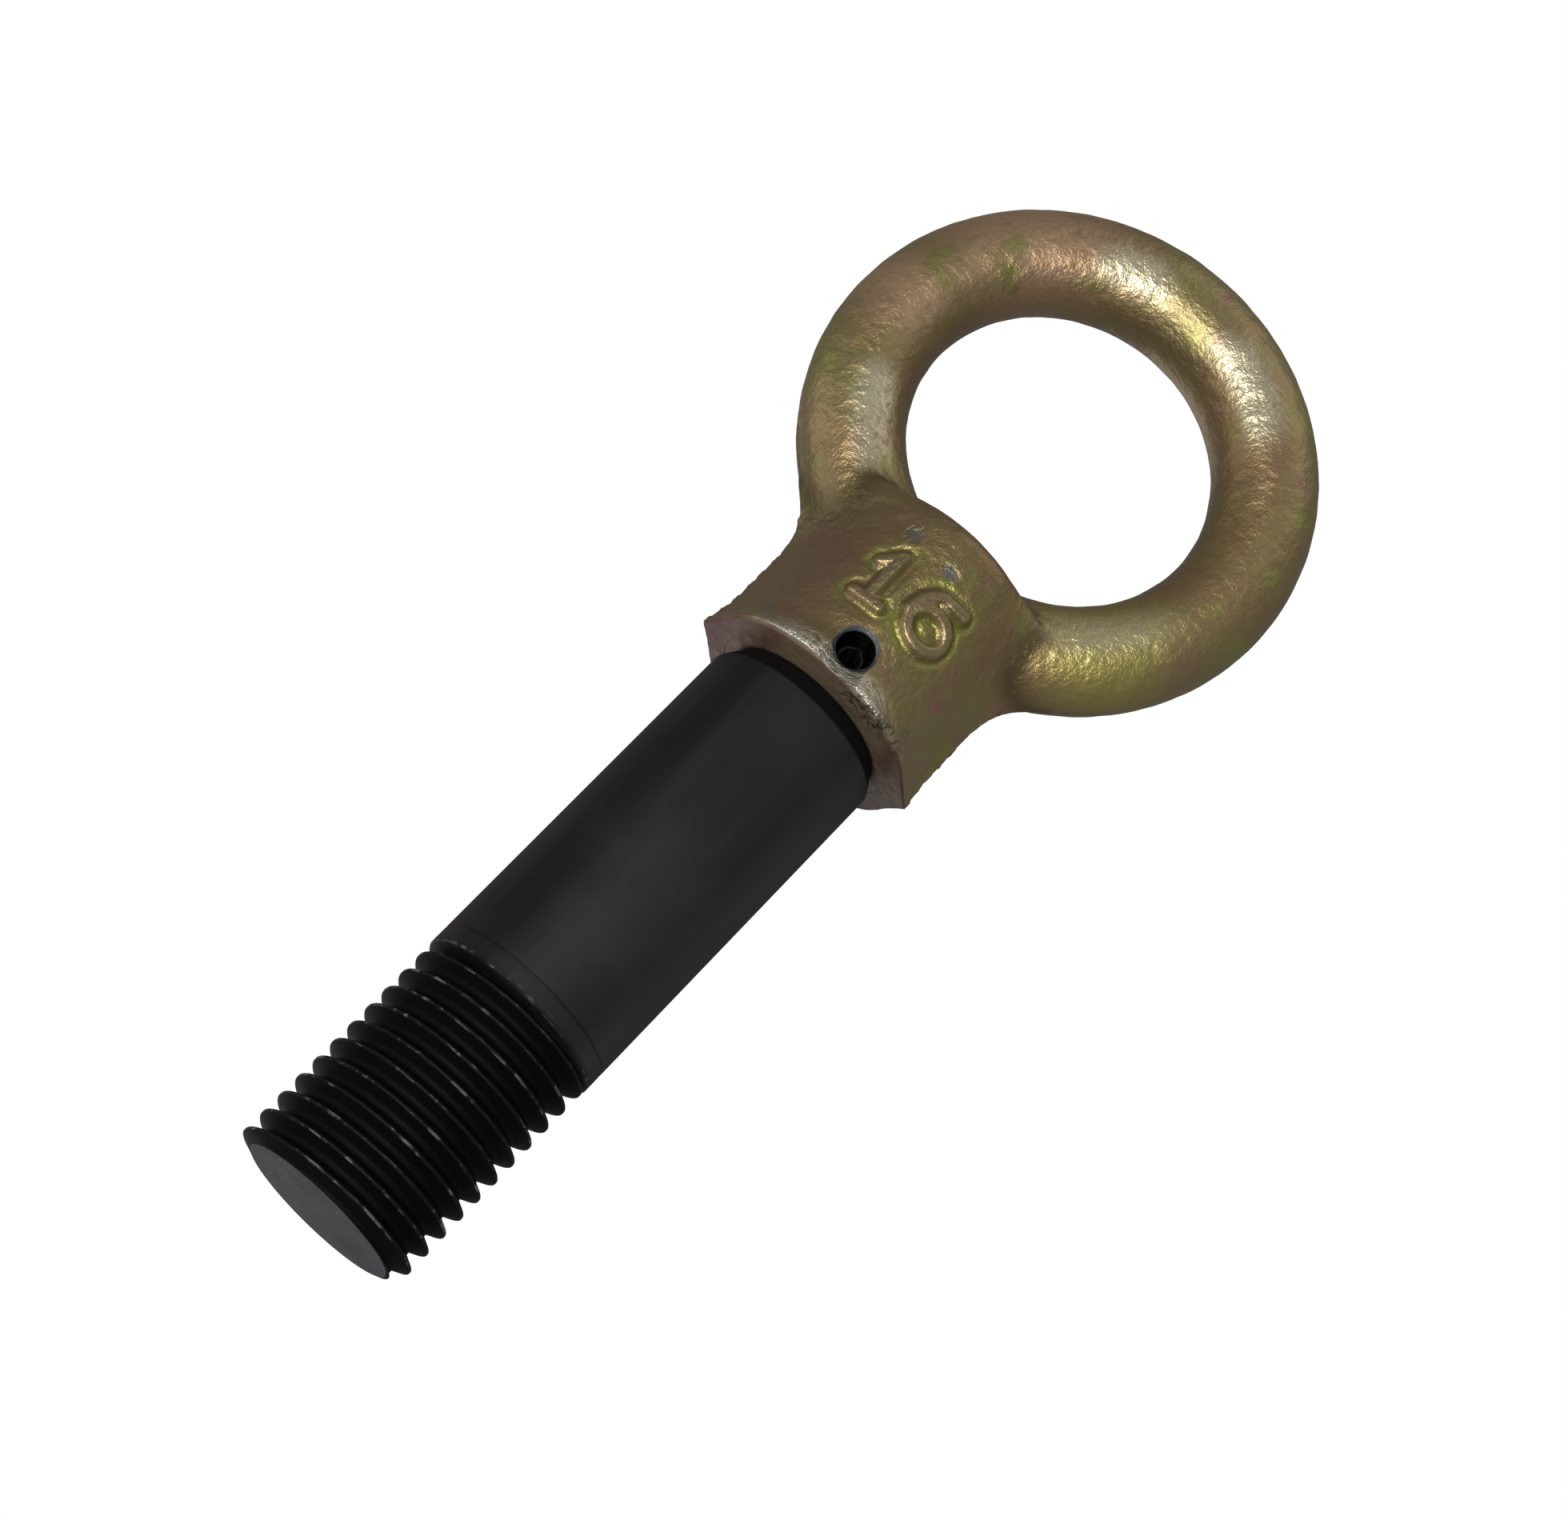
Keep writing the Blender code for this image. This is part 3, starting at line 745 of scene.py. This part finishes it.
envelope = turned("point_tool", [(0, end_height)] + [
    (radius, end_height + above) for radius, above in point_line
] + [(20, end_height + 8), (20, stud_high.z + 5), (0, stud_high.z + 5)], turn_steps)
stud_mesh = cut_with(stud_mesh, envelope, "INTERSECT")
stud_mesh = cut_with(stud_mesh, pin_drill(pin_hole_radius, pin_hole_radius, 16.0))
stud_mesh.name = "threaded_stud_skin"
stud_mesh.shade_smooth()
stud_mesh.set_sharp_from_angle(angle=radians(42))

oxide, oxide_shader, shade = new_material("black_oxide", 0.5, 0.35)
oxide_shader.inputs["Specular IOR Level"].default_value = 0.15
place = shade.node("ShaderNodeTexCoord", None, None, 3)
across = shade.node("ShaderNodeSeparateXYZ", None, {0: place}, 0)
front = shade.node("ShaderNodeSeparateXYZ", None, {0: place}, 1)
height = shade.node("ShaderNodeSeparateXYZ", None, {0: place}, 2)
from_axis = gap_from_line(shade, place, (1, 1, 0))


def stretched(shade, place, by):
    """The place with its height multiplied, so that noise on it runs round or along the bar."""
    return shade.node("ShaderNodeVectorMath", {"operation": "MULTIPLY"},
                      {0: place, 1: (1, 1, by)})


# The oxide is nearly black and a little cloudy, with streaks along the bar.
cloud = shade.noise(place, 18 * mm, 3.0, 0.5)
fine_grain = shade.noise(place, 0.6 * mm, 2.0, 0.5)
turning_marks = shade.noise(stretched(shade, place, 14), 6 * mm, 4.0, 0.6)
bar_streak = shade.noise(stretched(shade, place, 0.12), 4 * mm, 4.0, 0.6)
oxide_dark = (0.024, 0.0235, 0.023, 1)
oxide_light = (0.034, 0.0335, 0.033, 1)
shade_band_grey = (0.008, 0.008, 0.007, 1)
sheen_band_grey = (0.060, 0.060, 0.060, 1)
streak_grey = (0.036, 0.035, 0.033, 1)
base = cloud.step(0.35, 0.65).blend(oxide_dark, oxide_light)

# On the front half only, a band of painted shade lies left of the middle, and a painted
# sheen along the right side.
on_front = front.step(0.0, -4 * mm)
shade_band = across.step(-11.2 * mm, -8.5 * mm) * across.step(-3.0 * mm, -6.5 * mm) * on_front
base = (shade_band * 0.6).blend(base, shade_band_grey)
sheen = across.step(7.0 * mm, 11.2 * mm) * on_front
base = (sheen * 0.8).blend(base, sheen_band_grey)
base = (bar_streak.step(0.45, 0.70) * 0.5).blend(base, streak_grey)

# A dark line runs in the faint groove above the thread, with a little rust round it, and the
# shoulder under the seat is painted black as shadow.
line_black = (0.003, 0.003, 0.003, 1)
rust = (0.045, 0.020, 0.014, 1)
shoulder_shadow_black = (0.006, 0.006, 0.006, 1)
ring_line = height.step((groove_height - 0.25) * mm, groove_height * mm)
ring_line = ring_line * height.step((groove_height + 0.3) * mm, (groove_height + 0.05) * mm)
base = (ring_line * 0.5).blend(base, line_black)
rusty = height.step(-43 * mm, -47 * mm) * (cloud * 0.7 + fine_grain * 0.3).step(0.50, 0.66)
base = (rusty * 0.75).blend(base, rust)
# Painted shadow on the shoulder under the seat.
shadowed = height.step(-2.45 * mm, -2.25 * mm)
base = shadowed.blend(base, shoulder_shadow_black)

# The thread is nearly black and its crests a little lighter, and short dashes on the crests
# are painted glint.  The end face is grey, with fine turning rings.
thread_black = (0.0025, 0.0026, 0.0029, 1)
crest_black = (0.020, 0.020, 0.020, 1)
glint_grey = (0.17, 0.165, 0.16, 1)
end_dark = (0.082, 0.082, 0.090, 1)
end_light = (0.150, 0.150, 0.162, 1)
on_thread = height.step(-48.8 * mm, -50.2 * mm)
on_end = height.step((end_height + 0.06) * mm, (end_height + 0.01) * mm)
base = on_thread.blend(base, thread_black)
crest = from_axis.step((thread_radius - 0.12) * mm, (thread_radius - 0.01) * mm) * on_thread
glint = shade.noise(place, 1.7 * mm, 2.0, 0.5)
# Painted glint in short dashes on the crests.
crest_glint = crest * turning_marks.step(0.44, 0.58) * glint.step(0.50, 0.62)
base = (crest * 0.4).blend(base, crest_black)
base = crest_glint.blend(base, glint_grey)
faced = (cloud * 0.5 + fine_grain * 0.2 + turning_marks * 0.3).step(0.38, 0.62)
base = on_end.blend(base, faced.blend(end_dark, end_light))

rough = 0.50 + cloud * 0.08 + on_thread * 0.14 - crest * 0.16 - crest_glint * 0.20
rough = rough + on_end * 0.03 + shadowed * 0.3
rings = shade.math("SINE", from_axis * (2 * pi / (0.45 * mm))) * on_end
relief = fine_grain * 0.5 + turning_marks * 0.5 * (1 - on_end) + rings * 0.25
bump = shade.node("ShaderNodeBump", None,
                  {"Strength": 0.25, "Distance": 0.06 * mm, "Height": relief})
for name, value in (("Base Color", base), ("Roughness", rough), ("Normal", bump)):
    shade.tree.links.new(value.socket, oxide_shader.inputs[name])
stud_mesh.materials.clear()
stud_mesh.materials.append(oxide)
stud = object_from("threaded_stud_visual", stud_mesh)
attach(stud, "root")
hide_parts("threaded_stud")


# ---------------------------------------------------------------- roll pin
# A strip of spring steel rolled into an open tube with chamfered ends, driven through the
# boss and the tenon and sunk below the boss at both ends, so the stud can't unscrew.
pin_low, pin_high = (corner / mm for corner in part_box("roll_pin"))
pin_radius = (pin_high.z - pin_low.z) / 2
pin_end = pin_high.y
pin_wall = 0.60
pin_slot = 0.80
pin_gap = 2 * asin(pin_slot / 2 / pin_radius)
pin_chamfer = 0.35
pin_chamfer_length = 0.8
pin_section = [
    (pin_radius - pin_wall, -pin_end), (pin_radius - pin_chamfer, -pin_end),
    (pin_radius, -pin_end + pin_chamfer_length), (pin_radius, pin_end - pin_chamfer_length),
    (pin_radius - pin_chamfer, pin_end), (pin_radius - pin_wall, pin_end),
]
pin_shape = bmesh.new()
outline = [pin_shape.verts.new((0, y * mm, radius * mm)) for radius, y in pin_section]
start = pin_shape.faces.new(outline)
bmesh.ops.rotate(pin_shape, verts=outline, cent=(0, 0, 0),
                 matrix=Matrix.Rotation(pin_gap / 2, 3, "Y"))
bmesh.ops.spin(pin_shape, geom=outline + list(start.edges) + [start], cent=(0, 0, 0),
               axis=(0, 1, 0), angle=2 * pi - pin_gap, steps=56, use_merge=False)
bmesh.ops.translate(pin_shape, verts=pin_shape.verts, vec=(0, 0, pin_height * mm))
bmesh.ops.recalc_face_normals(pin_shape, faces=pin_shape.faces)
pin_mesh = mesh_from("roll_pin_skin", pin_shape)
pin_mesh.shade_smooth()
pin_mesh.set_sharp_from_angle(angle=radians(35))

spring, spring_shader, shade = new_material("blackened_spring_steel", 0.45, 0.8)
place = shade.node("ShaderNodeTexCoord", None, None, 3)
scale = shade.noise(place, 0.9 * mm, 3.0, 0.6)
scale_dark = (0.012, 0.012, 0.013, 1)
scale_light = (0.03, 0.029, 0.028, 1)
base = scale.step(0.35, 0.7).blend(scale_dark, scale_light)
shade.tree.links.new(base.socket, spring_shader.inputs["Base Color"])
rough = 0.40 + scale * 0.2
shade.tree.links.new(rough.socket, spring_shader.inputs["Roughness"])
bump = shade.node("ShaderNodeBump", None,
                  {"Strength": 0.3, "Distance": 0.05 * mm, "Height": scale})
shade.tree.links.new(bump.socket, spring_shader.inputs["Normal"])
pin_mesh.materials.append(spring)
pin = object_from("roll_pin_visual", pin_mesh)
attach(pin, "root")
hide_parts("roll_pin")
